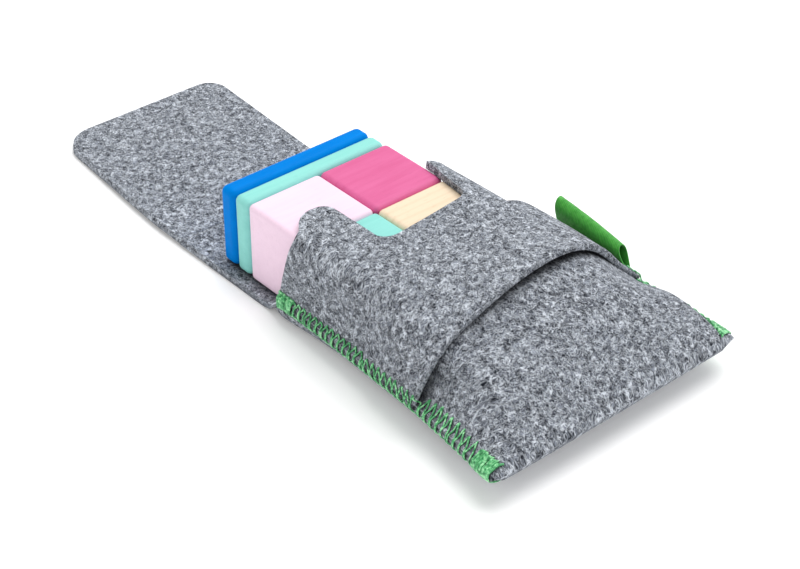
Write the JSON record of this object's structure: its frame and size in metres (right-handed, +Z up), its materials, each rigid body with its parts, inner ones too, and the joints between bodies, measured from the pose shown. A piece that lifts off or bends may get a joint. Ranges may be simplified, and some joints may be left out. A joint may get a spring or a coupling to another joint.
{
  "type": "block pouch",
  "caption": "Felt pocket pouch with fold-over flap, retaining band, whip-stitched sides and ribbon tag, holding magnetic wooden cubes and planks",
  "frame": {"origin": "centre of the footprint of the open pouch, on the surface that it lies on", "axes": "+X from the flap's free end to the pouch's folded bottom, +Y across the pouch to the ribbon tag's side, +Z up"},
  "size_m": [0.257, 0.1099, 0.0434],
  "materials": {
    "felt": "heathered needle felt, fuzzy",
    "ribbon": "ribbed satin",
    "thread": "spun sewing thread",
    "blue_paint": "water-based tint over hardwood, satin",
    "mint_paint": "water-based tint over hardwood, satin",
    "pink_paint": "water-based tint over hardwood, satin",
    "magenta_paint": "water-based tint over hardwood, satin",
    "natural_wood": "bare sanded hardwood, waxed",
    "plug_wood": "raw dowel",
    "magnet": "nickel plated"
  },
  "bodies": {
    "pouch": {"back_panel": "felt", "front_panel": "felt", "retaining_band": "felt", "ribbon_tag": "ribbon", "near_stitching": "thread", "far_stitching": "thread"},
    "flap_riser": {"flap_riser": "felt"},
    "flap_cover": {"flap_cover": "felt"},
    "blue_plank": {"blue_plank": "blue_paint", "blue_plank_magnets": "magnet", "blue_plank_plugs": "plug_wood"},
    "mint_plank": {"mint_plank": "mint_paint", "mint_plank_magnets": "magnet", "mint_plank_plugs": "plug_wood"},
    "pink_cube": {"pink_cube": "pink_paint", "pink_cube_magnets": "magnet", "pink_cube_dowels": "plug_wood"},
    "magenta_cube": {"magenta_cube": "magenta_paint", "magenta_cube_magnets": "magnet", "magenta_cube_dowels": "plug_wood"},
    "mint_cube": {"mint_cube": "mint_paint", "mint_cube_magnets": "magnet", "mint_cube_dowels": "plug_wood"},
    "natural_cube": {"natural_cube": "natural_wood", "natural_cube_magnets": "magnet", "natural_cube_dowels": "plug_wood"},
    "inner_blue_cube": {"inner_blue_cube": "blue_paint", "inner_blue_cube_magnets": "magnet", "inner_blue_cube_dowels": "plug_wood"},
    "inner_natural_cube": {"inner_natural_cube": "natural_wood", "inner_natural_cube_magnets": "magnet", "inner_natural_cube_dowels": "plug_wood"}
  },
  "joints": [
    {"name": "flap_riser_hinge", "type": "hinge", "parent": "pouch", "child": "flap_riser", "pos_m": [-0.025, 0, 0.0025], "axis": [0, -1, 0], "range_deg": [-90, 0]},
    {"name": "flap_cover_hinge", "type": "hinge", "parent": "flap_riser", "child": "flap_cover", "pos_m": [-0.058, 0, 0.0025], "axis": [0, -1, 0], "range_deg": [-80, 0]},
    {"name": "third_row_slide", "type": "slide", "parent": "pouch", "child": "inner_natural_cube", "axis": [-1, 0, 0], "range_m": [0, 0.028]},
    {"name": "third_row_near_slide", "type": "slide", "parent": "pouch", "child": "inner_blue_cube", "axis": [-1, 0, 0], "range_m": [0, 0.028]},
    {"name": "second_row_slide", "type": "slide", "parent": "inner_natural_cube", "child": "natural_cube", "axis": [-1, 0, 0], "range_m": [0, 0.028]},
    {"name": "second_row_near_slide", "type": "slide", "parent": "inner_blue_cube", "child": "mint_cube", "axis": [-1, 0, 0], "range_m": [0, 0.028]},
    {"name": "first_row_slide", "type": "slide", "parent": "natural_cube", "child": "magenta_cube", "axis": [-1, 0, 0], "range_m": [0, 0.028]},
    {"name": "first_row_near_slide", "type": "slide", "parent": "mint_cube", "child": "pink_cube", "axis": [-1, 0, 0], "range_m": [0, 0.028]},
    {"name": "mint_plank_slide", "type": "slide", "parent": "magenta_cube", "child": "mint_plank", "axis": [-1, 0, 0], "range_m": [0, 0.008]},
    {"name": "blue_plank_slide", "type": "slide", "parent": "mint_plank", "child": "blue_plank", "axis": [-1, 0, 0], "range_m": [0, 0.008]}
  ],
  "couplings": [
    {"joint": "third_row_near_slide", "follows": "third_row_slide", "ratio": 1},
    {"joint": "second_row_near_slide", "follows": "second_row_slide", "ratio": 1},
    {"joint": "first_row_near_slide", "follows": "first_row_slide", "ratio": 1}
  ]
}
